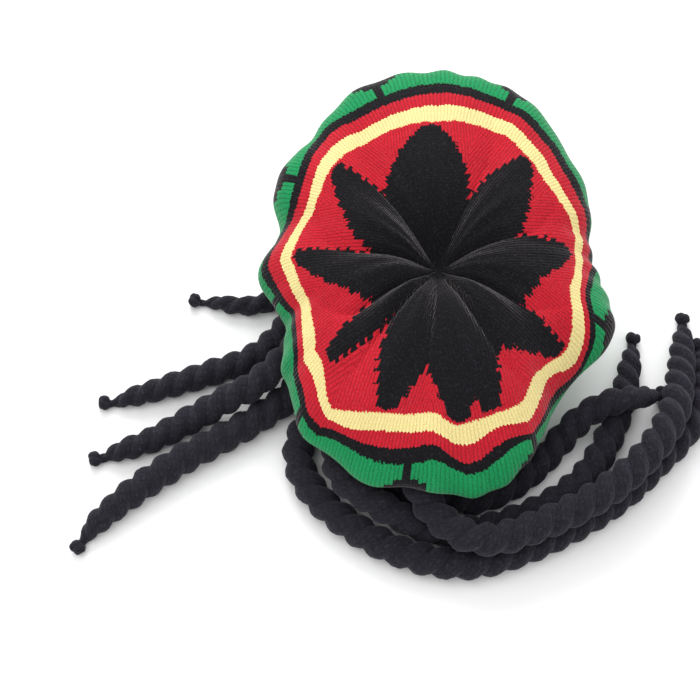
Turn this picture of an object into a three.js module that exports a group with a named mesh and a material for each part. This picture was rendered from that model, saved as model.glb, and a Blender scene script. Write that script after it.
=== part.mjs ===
// A slouchy knitted tam with eight twisted locks, lying on a table with the nape of the hat towards -Y.
// Millimetres, +Z up. The origin is on the table, under the middle of the crown.
import * as THREE from "three";

// Crown
const CROWN_WIDTH = 276; // ear to ear, across the rim
const CROWN_LENGTH = 354; // front to nape, along the rim
const FRONT_RISE = 131; // rim above the table at the front
const NAPE_RISE = 76; // rim above the table at the nape, where it lies on the locks
const CROWN_PUFF = 15; // swell of the top over the plane of the rim
const PETAL_PUFF = 9; // swell of one petal of the star between its creases
const SIDE_DROOP = 16; // sag of the rim over each ear
const KNIT_WALL = 3; // thickness of the crown's double knit

// Headband
const BAND_WIDTH = 168; // ear to ear, outside
const BAND_LENGTH = 184; // front to nape, outside
const BAND_HEIGHT = 44;
const BAND_WALL = 4;
const BAND_FORWARD = 5; // the band's middle lies this far in front of the crown's
const RIB_COUNT = 30;
const RIB_RELIEF = 1.2;

// Locks
const LOCK_DIAMETER = 24;
const LOCK_TAPER = 100; // length over which a lock narrows to its knot
const LOCK_STEP = 13; // spacing of a lock's rings along its middle
const LOCK_SIDES = 8;
const ROOT_STUB = 12; // straight stretch of a lock out of the band

// Fit
const SEAM_GAP = 0.3; // between pieces that are sewn together

// Colours of the yarns
const BLACK_YARN = 0x17151b;
const RED_YARN = 0xd3202c;
const GREEN_YARN = 0x1f9d57;

// Creases between the star's nine petals, as bearings in degrees from +X towards +Y.
const CREASES = [31, 73, 114, 154, 195, 233, 266, 303, 346];
const STEPS_IN_PETAL = 8;

// Folds of the rim: bearing and half-width in degrees, reach as a share of the crown's half width,
// and rise as a share of the rim's height at the nape.
const RIM_FOLDS = [
  { bearing: 11, halfWidth: 22, reach: -0.085, rise: 0 },
  { bearing: 62, halfWidth: 20, reach: 0.035, rise: 0 },
  { bearing: 112, halfWidth: 22, reach: 0.03, rise: 0 },
  { bearing: 146, halfWidth: 17, reach: 0.065, rise: 0.02 },
  { bearing: 162, halfWidth: 10, reach: -0.055, rise: 0 },
  { bearing: 178, halfWidth: 12, reach: 0.045, rise: -0.04 },
  { bearing: 197, halfWidth: 17, reach: -0.11, rise: 0.05 },
  { bearing: 231, halfWidth: 14, reach: 0.085, rise: -0.06 },
  { bearing: 249, halfWidth: 14, reach: 0.065, rise: -0.04 },
  { bearing: 263, halfWidth: 12, reach: 0.01, rise: 0.08 },
  { bearing: 281, halfWidth: 15, reach: 0.04, rise: -0.1 },
  { bearing: 314, halfWidth: 26, reach: -0.17, rise: -0.05 },
  { bearing: 342, halfWidth: 15, reach: 0.05, rise: 0.05 },
];

// Sections of the crown's outside, from the star's centre over the rim and back under it to the band.
// reach is a share of the way to the rim, swell a share of CROWN_PUFF over the rim's plane, petal a share
// of PETAL_PUFF, fold a share of the rim's folds, and tuck a share of the way from the rim to the band.
const CROWN_SECTIONS = [
  { reach: 0.05, swell: -0.5, petal: 0.1, fold: 0, tuck: 0 },
  { reach: 0.12, swell: -0.05, petal: 0.5, fold: 0, tuck: 0 },
  { reach: 0.21, swell: 0.5, petal: 0.85, fold: 0, tuck: 0 },
  { reach: 0.32, swell: 0.85, petal: 1, fold: 0, tuck: 0 },
  { reach: 0.44, swell: 1, petal: 0.9, fold: 0.03, tuck: 0 },
  { reach: 0.56, swell: 1, petal: 0.65, fold: 0.12, tuck: 0 },
  { reach: 0.68, swell: 0.92, petal: 0.4, fold: 0.35, tuck: 0 },
  { reach: 0.79, swell: 0.75, petal: 0.2, fold: 0.65, tuck: 0 },
  { reach: 0.88, swell: 0.45, petal: 0.1, fold: 0.9, tuck: 0 },
  { reach: 0.945, swell: 0.1, petal: 0, fold: 1, tuck: 0 },
  { reach: 0.985, swell: -0.4, petal: 0, fold: 1, tuck: 0 },
  { reach: 1, swell: -0.95, petal: 0, fold: 0.9, tuck: 0 },
  { reach: 0.985, swell: -1.45, petal: 0, fold: 0.7, tuck: 0 },
  { reach: 0.945, swell: -1.75, petal: 0, fold: 0.4, tuck: 0.02 },
  { reach: 0.9, swell: -1.85, petal: 0, fold: 0.1, tuck: 0.25 },
  { reach: 0.9, swell: -1.85, petal: 0, fold: 0, tuck: 0.55 },
  { reach: 0.9, swell: -1.85, petal: 0, fold: 0, tuck: 0.85 },
];
const SEAM_RISE = 5; // straight stretch of the crown's edge above the band

// Width of a lock by the distance back from its tip, as shares of LOCK_TAPER and of its own diameter.
const TIP_SHAPE = [
  { back: 0, width: 0.2 },
  { back: 0.03, width: 0.46 },
  { back: 0.08, width: 0.5 },
  { back: 0.14, width: 0.26 },
  { back: 0.22, width: 0.48 },
  { back: 0.4, width: 0.7 },
  { back: 0.7, width: 0.9 },
  { back: 1, width: 1 },
];
const ROOT_NARROWING = { width: 0.74, length: 0.3 }; // gathered root: share of the diameter, of LOCK_TAPER

// The locks, from the hat's left round the nape. girth is a share of LOCK_DIAMETER and root the bearing of
// its root on the band, in degrees. After a straight stub out of the band, each route runs to the knot as
// points of x, y and the height of the lock's underside above the table.
const LOCKS = [
  { girth: 0.78, root: 158, route: [
    [-101, 44, 0], [-112, 39, 0], [-122, 31, 0], [-133, 23, 0], [-144, 18, 0], [-154, 16, 0], [-163, 16, 0],
    [-171, 17, 0], [-179, 19, 0], [-186, 20, 0], [-192, 21, 0], [-199, 22, 0], [-206, 23, 0]] },
  { girth: 0.92, root: 173, route: [
    [-106, 13, 0], [-116, 4, 0], [-125, -8, 0], [-134, -20, 0], [-145, -31, 0], [-157, -39, 0],
    [-172, -45, 0], [-186, -50, 0], [-200, -55, 0], [-215, -60, 0], [-230, -65, 0], [-244, -69, 0],
    [-259, -73, 0], [-276, -75, 0]] },
  { girth: 0.97, root: 188, route: [
    [-104, -17, 5], [-112, -29, 13], [-120, -41, 18], [-130, -53, 19], [-140, -64, 19], [-150, -72, 17],
    [-162, -77, 15], [-174, -82, 10], [-187, -88, 5], [-200, -94, 2], [-215, -102, 0], [-232, -111, 0],
    [-248, -117, 0], [-264, -122, 0], [-280, -126, 0]] },
  { girth: 1.03, root: 203, route: [
    [-99, -45, 0], [-108, -57, 0], [-118, -69, 0], [-129, -80, 0], [-143, -90, 0], [-157, -100, 0],
    [-172, -109, 0], [-189, -119, 0], [-207, -130, 0], [-222, -141, 0], [-238, -153, 0], [-251, -164, 0],
    [-265, -177, 0], [-277, -190, 0], [-286, -204, 0]] },
  { girth: 1.02, root: 218, route: [
    [-85, -69, 0], [-94, -83, 0], [-103, -96, 0], [-110, -109, 0], [-112, -123, 0], [-109, -139, 0],
    [-100, -156, 0], [-85, -173, 0], [-65, -189, 0], [-43, -202, 0], [-21, -211, 0], [0, -216, 0],
    [23, -217, 0], [47, -212, 0], [71, -203, 0], [95, -192, 0], [118, -179, 0], [139, -165, 0],
    [158, -149, 0], [176, -131, 0], [194, -113, 0], [209, -93, 0], [219, -71, 0], [224, -49, 0],
    [224, -31, 0], [223, -16, 0]] },
  { girth: 1, root: 233, route: [
    [-66, -90, 0], [-73, -104, 3], [-79, -118, 8], [-81, -132, 13], [-79, -145, 17], [-71, -158, 18],
    [-58, -168, 18], [-42, -177, 15], [-24, -184, 8], [-6, -189, 1], [12, -190.5, 0], [34, -188.5, 0],
    [58, -181.5, 0], [80, -172, 0], [99, -160.5, 0], [116, -146, 0], [130, -127, 0], [142, -104, 0],
    [153, -76, 0], [162, -45, 0], [169, -11, 0]] },
  { girth: 0.96, root: 248, route: [
    [-41, -105, 0], [-43, -118, 0], [-43, -131, 0], [-38, -144, 0], [-28, -154, 0], [-16, -160, 0],
    [0, -163, 0], [17, -164, 0], [34, -162, 0], [52, -155, 0], [70, -143, 0], [87, -127, 0],
    [102, -111, 5], [117, -98, 14], [134, -90, 22], [152, -85, 24], [168, -79, 17], [180, -72, 8],
    [190, -65, 2]] },
  { girth: 1.05, root: 263, route: [
    [-14, -112, 3], [-17, -126, 10], [-19, -140, 18], [-18, -155, 25], [-14, -170, 26], [-6, -184, 26],
    [6, -196, 26], [23, -205, 25], [43, -206, 24], [65, -199, 24], [87, -190, 24], [108, -180, 25],
    [128, -168, 26], [147, -153, 26], [165, -135, 26], [180, -115, 25], [191, -93, 20], [198, -70, 12],
    [204, -46, 5], [208, -23, 0], [211, -6, 0], [212, 8, 0]] },
];

const material = (color) => new THREE.MeshStandardMaterial({ color, roughness: 0.95, metalness: 0 });
const radians = THREE.MathUtils.degToRad;
const lerp = THREE.MathUtils.lerp;

// A closed mesh from rings of points, each ring a loop with as many points as the next. The first and the
// last ring are closed by a fan on their own middle point, or joined to each other where looped is true.
function meshOfRings(rings, looped = false) {
  const around = rings[0].length;
  const points = rings.flat();
  const faces = [];
  const ringPairs = looped ? rings.length : rings.length - 1;
  for (let i = 0; i < ringPairs; i++) {
    const here = i * around;
    const next = ((i + 1) % rings.length) * around;
    for (let j = 0; j < around; j++) {
      const k = (j + 1) % around;
      faces.push(here + j, next + j, next + k, here + j, next + k, here + k);
    }
  }
  if (!looped) {
    const last = (rings.length - 1) * around;
    const first = points.push(middleOf(rings[0])) - 1;
    const end = points.push(middleOf(rings[rings.length - 1])) - 1;
    for (let j = 0; j < around; j++) {
      const k = (j + 1) % around;
      faces.push(first, j, k);
      faces.push(end, last + k, last + j);
    }
  }
  const geometry = new THREE.BufferGeometry().setFromPoints(points);
  geometry.setIndex(faces);
  geometry.computeVertexNormals();
  return geometry;
}

function middleOf(ring) {
  return ring.reduce((sum, p) => sum.add(p), new THREE.Vector3()).divideScalar(ring.length);
}

// Bearing of a place round the star, counted in petals from the first crease.
function bearingAt(petals) {
  const k = Math.floor(petals);
  const here = CREASES[k % CREASES.length];
  const next = CREASES[(k + 1) % CREASES.length];
  const span = (next - here + 360) % 360;
  return radians(here + span * (petals - k));
}

// How far a fold of the rim is felt at a bearing, from 0 at its ends to 1 at its middle.
function foldShare(fold, bearing) {
  const degrees = THREE.MathUtils.radToDeg(bearing);
  const away = Math.abs(((degrees - fold.bearing + 540) % 360) - 180);
  return away < fold.halfWidth ? (1 + Math.cos((Math.PI * away) / fold.halfWidth)) / 2 : 0;
}

function foldSum(key, bearing) {
  return RIM_FOLDS.reduce((sum, fold) => sum + fold[key] * foldShare(fold, bearing), 0);
}

// Point of the band's outside at a bearing, at height z.
function bandPoint(bearing, z, inset = 0) {
  const x = (BAND_WIDTH / 2 - inset) * Math.cos(bearing);
  const y = BAND_FORWARD + (BAND_LENGTH / 2 - inset) * Math.sin(bearing);
  return new THREE.Vector3(x, y, z);
}

// Point of the crown's outside in a section, at a place round the star.
function crownPoint(section, petals) {
  const bearing = bearingAt(petals);
  const across = Math.cos(bearing) / (CROWN_WIDTH / 2);
  const along = Math.sin(bearing) / (CROWN_LENGTH / 2);
  const folded = (CROWN_WIDTH / 2) * foldSum("reach", bearing) * section.fold;
  const reach = section.reach / Math.hypot(across, along) + folded;
  const x = reach * Math.cos(bearing);
  const y = reach * Math.sin(bearing);
  const plane = lerp(NAPE_RISE, FRONT_RISE, y / CROWN_LENGTH + 0.5);
  const droop = SIDE_DROOP * Math.cos(bearing) ** 2 * section.reach ** 3;
  const petal = PETAL_PUFF * section.petal * Math.sin(Math.PI * (petals % 1)) ** 0.8;
  const ruffle = NAPE_RISE * foldSum("rise", bearing) * section.fold;
  const z = plane + CROWN_PUFF * section.swell + petal + ruffle - droop;
  const edge = bandPoint(bearing, BAND_HEIGHT + SEAM_GAP + SEAM_RISE);
  return new THREE.Vector3(
    lerp(x, edge.x, section.tuck),
    lerp(y, edge.y, section.tuck),
    lerp(z, edge.z, section.tuck ** 0.8),
  );
}

// The crown: one knitted wall, from the star's centre to its edge on the band, in two solids that meet at the
// widest section: the top with the star, and the side that turns back under it.
function crownMeshes() {
  const around = CREASES.length * STEPS_IN_PETAL;
  const places = Array.from({ length: around }, (_, j) => j / STEPS_IN_PETAL);
  const outer = CROWN_SECTIONS.map((section) => places.map((place) => crownPoint(section, place)));
  const seamZ = BAND_HEIGHT + SEAM_GAP;
  const edgeRing = (z, inset) => places.map((place) => bandPoint(bearingAt(place), z, inset));
  outer.push(edgeRing(seamZ + SEAM_RISE, 0));
  const slopeAt = (i, j) => {
    const up = outer[Math.max(i - 1, 0)][j];
    const down = outer[Math.min(i + 1, outer.length - 1)][j];
    return new THREE.Vector3().subVectors(down, up);
  };
  const inner = outer.map((ring, i) =>
    ring.map((point, j) => {
      const left = ring[(j + around - 1) % around];
      const right = ring[(j + 1) % around];
      const girth = new THREE.Vector3().subVectors(right, left);
      const normal = slopeAt(i, j).cross(girth).normalize();
      return point.clone().addScaledVector(normal, -KNIT_WALL);
    }),
  );
  inner[inner.length - 1] = edgeRing(seamZ + SEAM_RISE, KNIT_WALL);

  const rim = CROWN_SECTIONS.findIndex((section) => section.reach === 1);
  const pastSeam = (ring) =>
    ring.map((point, j) => point.clone().addScaledVector(slopeAt(rim, j).normalize(), SEAM_GAP));
  const topRings = [...outer.slice(0, rim + 1), ...inner.slice(0, rim + 1).reverse()];
  const sideRings = [
    pastSeam(outer[rim]),
    ...outer.slice(rim + 1),
    edgeRing(seamZ, 0),
    edgeRing(seamZ, KNIT_WALL),
    ...inner.slice(rim + 1).reverse(),
    pastSeam(inner[rim]),
  ];
  const top = new THREE.Mesh(meshOfRings(topRings), material(RED_YARN));
  top.name = "crown_top";
  const side = new THREE.Mesh(meshOfRings(sideRings, true), material(GREEN_YARN));
  side.name = "crown_side";
  return [top, side];
}

// The headband: an oval wall with vertical ribs outside.
function headbandMesh() {
  const stepsInRib = 4;
  const around = RIB_COUNT * stepsInRib;
  const ring = (z, inset, relief) =>
    Array.from({ length: around }, (_, j) => {
      const raised = j % stepsInRib < stepsInRib / 2 ? relief : 0;
      return bandPoint((2 * Math.PI * j) / around, z, inset - raised);
    });
  const rings = [
    ring(0, RIB_RELIEF, 0),
    ring(RIB_RELIEF, RIB_RELIEF, RIB_RELIEF),
    ring(BAND_HEIGHT - RIB_RELIEF, RIB_RELIEF, RIB_RELIEF),
    ring(BAND_HEIGHT, RIB_RELIEF, 0),
    ring(BAND_HEIGHT, BAND_WALL, 0),
    ring(0, BAND_WALL, 0),
  ].reverse();
  const mesh = new THREE.Mesh(meshOfRings(rings, true), material(BLACK_YARN));
  mesh.name = "headband";
  return mesh;
}

// Width of a lock, as a share of its diameter, at a distance along its middle.
function lockWidth(distance, length) {
  const back = (length - distance) / LOCK_TAPER;
  const row = TIP_SHAPE.findIndex((r) => r.back > back);
  const rootEnd = ROOT_NARROWING.length * LOCK_TAPER;
  const root = distance < rootEnd ? lerp(ROOT_NARROWING.width, 1, distance / rootEnd) : 1;
  if (row < 1) return row === 0 ? TIP_SHAPE[0].width : root;
  const [low, high] = [TIP_SHAPE[row - 1], TIP_SHAPE[row]];
  return root * lerp(low.width, high.width, (back - low.back) / (high.back - low.back));
}

// The straight stub of a lock, square out of the band.
function rootPoints(lock) {
  const bearing = radians(lock.root);
  const out = new THREE.Vector3(Math.cos(bearing) / BAND_WIDTH, Math.sin(bearing) / BAND_LENGTH, 0);
  const start = bandPoint(bearing, 0).addScaledVector(out.normalize(), SEAM_GAP);
  return [start, start.clone().addScaledVector(out, ROOT_STUB)];
}

// The middle line of a lock, whose rings come closer together over the last stretch before the knot.
class LockLine extends THREE.Curve {
  constructor(lock) {
    super();
    this.radius = (lock.girth * LOCK_DIAMETER) / 2;
    const points = [...rootPoints(lock), ...lock.route.map((p) => new THREE.Vector3(...p))];
    this.underside = new THREE.CatmullRomCurve3(points);
    this.length = this.underside.getLength();
    const tip = TIP_SHAPE.slice(0, -2).map((row) => this.length - row.back * LOCK_TAPER).reverse();
    const steps = Math.round(tip[0] / LOCK_STEP);
    this.distances = [...Array.from({ length: steps }, (_, i) => (tip[0] * i) / steps), ...tip];
  }
  radiusAt(ring) {
    return this.radius * lockWidth(this.distances[ring], this.length);
  }
  ringAt(share) {
    return Math.round(share * (this.distances.length - 1));
  }
  getPointAt(share, target = new THREE.Vector3()) {
    const ring = this.ringAt(share);
    this.underside.getPointAt(this.distances[ring] / this.length, target);
    target.z = Math.max(target.z, 0) + this.radiusAt(ring);
    return target;
  }
  getTangentAt(share, target = new THREE.Vector3()) {
    return this.underside.getTangentAt(this.distances[this.ringAt(share)] / this.length, target);
  }
}

// One lock: a tube along its route, narrowed at the gathered root and towards the knot at its tip.
function lockMesh(lock, index) {
  const line = new LockLine(lock);
  const section = new THREE.Shape(
    Array.from({ length: LOCK_SIDES }, (_, i) => {
      const turn = (2 * Math.PI * i) / LOCK_SIDES;
      return new THREE.Vector2(line.radius * Math.cos(turn), line.radius * Math.sin(turn));
    }),
  );
  const steps = line.distances.length - 1;
  const geometry = new THREE.ExtrudeGeometry(section, { steps, extrudePath: line, bevelEnabled: false });
  const centres = line.distances.map((_, i) => line.getPointAt(i / steps));
  const position = geometry.getAttribute("position");
  const point = new THREE.Vector3();
  for (let i = 0; i < position.count; i++) {
    point.fromBufferAttribute(position, i);
    const gaps = centres.map((centre) => centre.distanceTo(point));
    const ring = gaps.indexOf(Math.min(...gaps));
    const narrowing = line.radiusAt(ring) / line.radius;
    point.sub(centres[ring]).multiplyScalar(narrowing).add(centres[ring]);
    position.setXYZ(i, point.x, point.y, point.z);
  }
  const mesh = new THREE.Mesh(geometry, material(BLACK_YARN));
  mesh.name = `dreadlock_${index + 1}`;
  return mesh;
}

const tam = new THREE.Group();
tam.add(...crownMeshes(), headbandMesh(), ...LOCKS.map(lockMesh));

export default tam;
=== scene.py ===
"""A slouchy knitted tam with eight twisted locks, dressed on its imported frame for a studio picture."""

import logging
import math
from dataclasses import dataclass, field
from enum import Enum
from typing import Any, ClassVar, Sequence

import bpy
import numpy as np
from mathutils import Matrix, Vector


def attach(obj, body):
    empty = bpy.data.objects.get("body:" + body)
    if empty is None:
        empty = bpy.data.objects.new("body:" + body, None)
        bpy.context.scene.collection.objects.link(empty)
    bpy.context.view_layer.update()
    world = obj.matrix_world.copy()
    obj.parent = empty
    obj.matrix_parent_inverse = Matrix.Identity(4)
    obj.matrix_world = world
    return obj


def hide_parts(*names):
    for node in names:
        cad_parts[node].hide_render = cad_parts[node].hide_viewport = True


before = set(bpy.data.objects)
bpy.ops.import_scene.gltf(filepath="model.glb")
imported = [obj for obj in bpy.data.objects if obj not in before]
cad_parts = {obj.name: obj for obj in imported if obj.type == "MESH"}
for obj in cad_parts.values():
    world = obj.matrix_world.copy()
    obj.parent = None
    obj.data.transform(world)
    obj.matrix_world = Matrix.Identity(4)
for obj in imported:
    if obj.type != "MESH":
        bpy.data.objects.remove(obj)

LOG = logging.getLogger("tam")
MM = 0.001
BODY = "root"
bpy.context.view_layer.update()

Colour = tuple[float, float, float, float]


class Yarn(Enum):
    """The yarns of the hat, each with its linear colour, and SHADE, the colour of the painted shade in the
    hollows of the locks and the band.
    """

    RED = (0.51, 0.010, 0.023, 1.0)
    YELLOW = (0.80, 0.67, 0.29, 1.0)
    GREEN = (0.006, 0.26, 0.082, 1.0)
    BLACK = (0.0030, 0.0024, 0.0038, 1.0)
    CHARCOAL = (0.012, 0.0108, 0.016, 1.0)
    LINT = (0.046, 0.043, 0.060, 1.0)
    # SHADE is no yarn: it is painted shade, mixed into the grooves and hollows of the locks and the band.
    SHADE = (0.004, 0.0036, 0.0052, 1.0)


class Wire:
    """An output socket whose arithmetic adds Math nodes to its tree."""

    def __init__(self, graph: "Graph", socket: bpy.types.NodeSocket) -> None:
        """Keeps the tree and the socket.

        Args:
            graph: The tree that the socket belongs to.
            socket: The output socket.
        """
        self.graph = graph
        self.socket = socket

    def math(self, operation: str, *others: "Wire | float") -> "Wire":
        """Adds one Math node.

        Args:
            operation: The node's operation.
            others: The values after this one.

        Returns:
            The node's output.
        """
        values = dict(enumerate((self, *others)))
        return self.graph.add("ShaderNodeMath", {"operation": operation}, values)

    def __add__(self, other: "Wire | float") -> "Wire":
        """Sum of two values."""
        return self.math("ADD", other)

    __radd__ = __add__

    def __sub__(self, other: "Wire | float") -> "Wire":
        """Difference of two values."""
        return self.math("SUBTRACT", other)

    def __rsub__(self, other: float) -> "Wire":
        """A number less this value."""
        return (self * -1.0) + other

    def __mul__(self, other: "Wire | float") -> "Wire":
        """Product of two values."""
        return self.math("MULTIPLY", other)

    def __truediv__(self, other: "Wire | float") -> "Wire":
        """Quotient of two values."""
        return self.math("DIVIDE", other)

    def __lt__(self, other: "Wire | float") -> "Wire":
        """1 where this value is less than the other."""
        return self.math("LESS_THAN", other)

    def __gt__(self, other: "Wire | float") -> "Wire":
        """1 where this value is more than the other."""
        return self.math("GREATER_THAN", other)

    def __abs__(self) -> "Wire":
        """The value without its sign."""
        return self.math("ABSOLUTE")

    def floor(self) -> "Wire":
        """The whole number at or under the value."""
        return self.math("FLOOR")

    def fraction(self) -> "Wire":
        """What is left over the whole number."""
        return self.math("FRACT")

    def edge(self) -> "Wire":
        """0 in the middle of each whole unit, 1 at its ends."""
        return abs(self.fraction() - 0.5) * 2.0

    def ramp(self, low: float, high: float) -> "Wire":
        """A smooth step from 0 at low to 1 at high."""
        settings = {"interpolation_type": "SMOOTHSTEP"}
        return self.graph.add("ShaderNodeMapRange", settings, {0: self, 1: low, 2: high, 3: 0.0, 4: 1.0})


class Graph:
    """A node tree that is filled by calls."""

    def __init__(self, tree: bpy.types.NodeTree) -> None:
        """Keeps the tree.

        Args:
            tree: A shader or geometry tree.
        """
        self.tree = tree

    def node(self, kind: str, settings: dict[str, Any], values: dict[Any, Any]) -> bpy.types.Node:
        """Adds a node.

        Args:
            kind: The node's type.
            settings: Its properties, set first.
            values: A value or a Wire for each input, by name or index.

        Returns:
            The node.
        """
        made = self.tree.nodes.new(kind)
        for name, value in settings.items():
            setattr(made, name, value)
        for key, value in values.items():
            if isinstance(value, Wire):
                self.tree.links.new(value.socket, made.inputs[key])
            else:
                made.inputs[key].default_value = value
        return made

    def add(self, kind: str, settings: dict[str, Any], values: dict[Any, Any], output: Any = 0) -> Wire:
        """Adds a node and gives one of its outputs.

        Args:
            kind: The node's type.
            settings: Its properties.
            values: Its inputs.
            output: The output's name or index.

        Returns:
            The output.
        """
        return Wire(self, self.node(kind, settings, values).outputs[output])

    def mix(self, mask: Wire, low: "Wire | Colour", high: "Wire | Colour") -> Wire:
        """Blends two colours.

        Args:
            mask: 0 gives low, 1 gives high.
            low: A colour.
            high: Another colour.

        Returns:
            The blended colour.
        """
        return self.add("ShaderNodeMix", {"data_type": "RGBA"}, {0: mask, 6: low, 7: high}, 2)

    def blend(self, kind: str, low: Wire, high: Wire) -> Wire:
        """Multiplies or adds two colours, as the blend type says."""
        settings = {"data_type": "RGBA", "blend_type": kind}
        return self.add("ShaderNodeMix", settings, {0: 1.0, 6: low, 7: high}, 2)

    def attribute(self, name: str) -> Wire:
        """The vector of a named attribute."""
        return self.add("ShaderNodeAttribute", {"attribute_name": name}, {}, "Vector")

    def place(self) -> Wire:
        """The place in the object's own frame, in metres."""
        return self.add("ShaderNodeTexCoord", {}, {}, "Object")

    def store(self, geometry: Wire, name: str, value: Wire) -> Wire:
        """The geometry with a named vector on each point."""
        domain = {"data_type": "FLOAT_VECTOR", "domain": "POINT"}
        kept = {"Geometry": geometry, "Name": name, "Value": value}
        return self.add("GeometryNodeStoreNamedAttribute", domain, kept)

    def capture(self, geometry: Wire, kind: str, name: str, value: Wire) -> tuple[Wire, Wire]:
        """Carries a value along on a geometry's points.

        Args:
            geometry: The geometry.
            kind: The value's kind.
            name: Its name in the node.
            value: The value.

        Returns:
            The geometry, and the value that it carries.
        """
        node = self.node("GeometryNodeCaptureAttribute", {"domain": "POINT"}, {"Geometry": geometry})
        node.capture_items.new(kind, name)
        self.tree.links.new(value.socket, node.inputs[1])
        return Wire(self, node.outputs[0]), Wire(self, node.outputs[1])

    def split(self, vector: Wire) -> tuple[Wire, Wire, Wire]:
        """The three numbers of a vector."""
        made = self.node("ShaderNodeSeparateXYZ", {}, {0: vector})
        return Wire(self, made.outputs[0]), Wire(self, made.outputs[1]), Wire(self, made.outputs[2])

    def joined(self, x: "Wire | float", y: "Wire | float", z: "Wire | float") -> Wire:
        """A vector of three numbers."""
        return self.add("ShaderNodeCombineXYZ", {}, {0: x, 1: y, 2: z})

    def noise(self, place: Wire, scale: float, detail: float = 2.0) -> Wire:
        """Smooth noise about 0.5 at a place."""
        return self.add("ShaderNodeTexNoise", {}, {"Vector": place, "Scale": scale, "Detail": detail})


def new_tree(name: str, inputs: dict[str, str]) -> tuple[Graph, dict[str, Wire]]:
    """Makes a Geometry Nodes tree with named inputs.

    Args:
        name: The tree's name.
        inputs: The kind of each input that comes after the geometry, by name.

    Returns:
        The tree's graph, and its inputs by name.
    """
    tree = bpy.data.node_groups.new(name, "GeometryNodeTree")
    for label, kind in {"Geometry": "Geometry", **inputs, "Material": "Material"}.items():
        tree.interface.new_socket(label, in_out="INPUT", socket_type=f"NodeSocket{kind}")
    tree.interface.new_socket("Geometry", in_out="OUTPUT", socket_type="NodeSocketGeometry")
    graph = Graph(tree)
    group = graph.node("NodeGroupInput", {}, {})
    return graph, {s.name: Wire(graph, s) for s in group.outputs if s.name}


def end_tree(graph: Graph, shape: Wire, material: Wire) -> bpy.types.NodeTree:
    """Ends a Geometry Nodes tree with real, smooth geometry in its material.

    Args:
        graph: The tree's graph.
        shape: The geometry.
        material: The material.

    Returns:
        The tree.
    """
    real = graph.add("GeometryNodeRealizeInstances", {}, {0: shape})
    smooth = graph.add("GeometryNodeSetShadeSmooth", {}, {0: real})
    done = graph.add("GeometryNodeSetMaterial", {}, {"Geometry": smooth, "Material": material})
    graph.node("NodeGroupOutput", {}, {"Geometry": done})
    return graph.tree


def new_material(name: str) -> tuple[bpy.types.Material, Graph, bpy.types.Node]:
    """Makes a material with one plain shader.

    Args:
        name: The material's name.

    Returns:
        The material, its tree and its shader node.
    """
    made = bpy.data.materials.new(name)
    made.use_nodes = True
    graph = Graph(made.node_tree)
    shader = next(n for n in made.node_tree.nodes if n.type == "BSDF_PRINCIPLED")
    return made, graph, shader


@dataclass(frozen=True)
class WoolCoat:
    """What is the same all over a yarn: its soft bloom, its dullness and the depth of its relief."""

    weight: float = 0.3
    roughness: float = 0.3
    tint: Colour = (1.0, 0.93, 0.95, 1.0)
    gloss: float = 0.2
    dullness: float = 0.84
    fleck_dullness: float = 0.12
    relief_strength: float = 0.6
    relief_depth: float = 0.7 * MM

    def finish(self, graph: Graph, shader: bpy.types.Node, colour: Wire, fleck: Wire, height: Wire) -> None:
        """Sets a shader's plain values and feeds what varies.

        Args:
            graph: The material's tree.
            shader: Its Principled shader.
            colour: The base colour.
            fleck: Where the yarn is rougher.
            height: The relief.
        """
        plain = {"Sheen Weight": self.weight, "Sheen Roughness": self.roughness, "Sheen Tint": self.tint,
                 "Specular IOR Level": self.gloss}
        for name, value in plain.items():
            shader.inputs[name].default_value = value
        relief = {"Height": height, "Strength": self.relief_strength, "Distance": self.relief_depth}
        bump = graph.add("ShaderNodeBump", {}, relief)
        roughness = self.dullness + fleck * self.fleck_dullness
        for name, value in (("Base Color", colour), ("Roughness", roughness), ("Normal", bump)):
            graph.tree.links.new(value.socket, shader.inputs[name])


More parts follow.
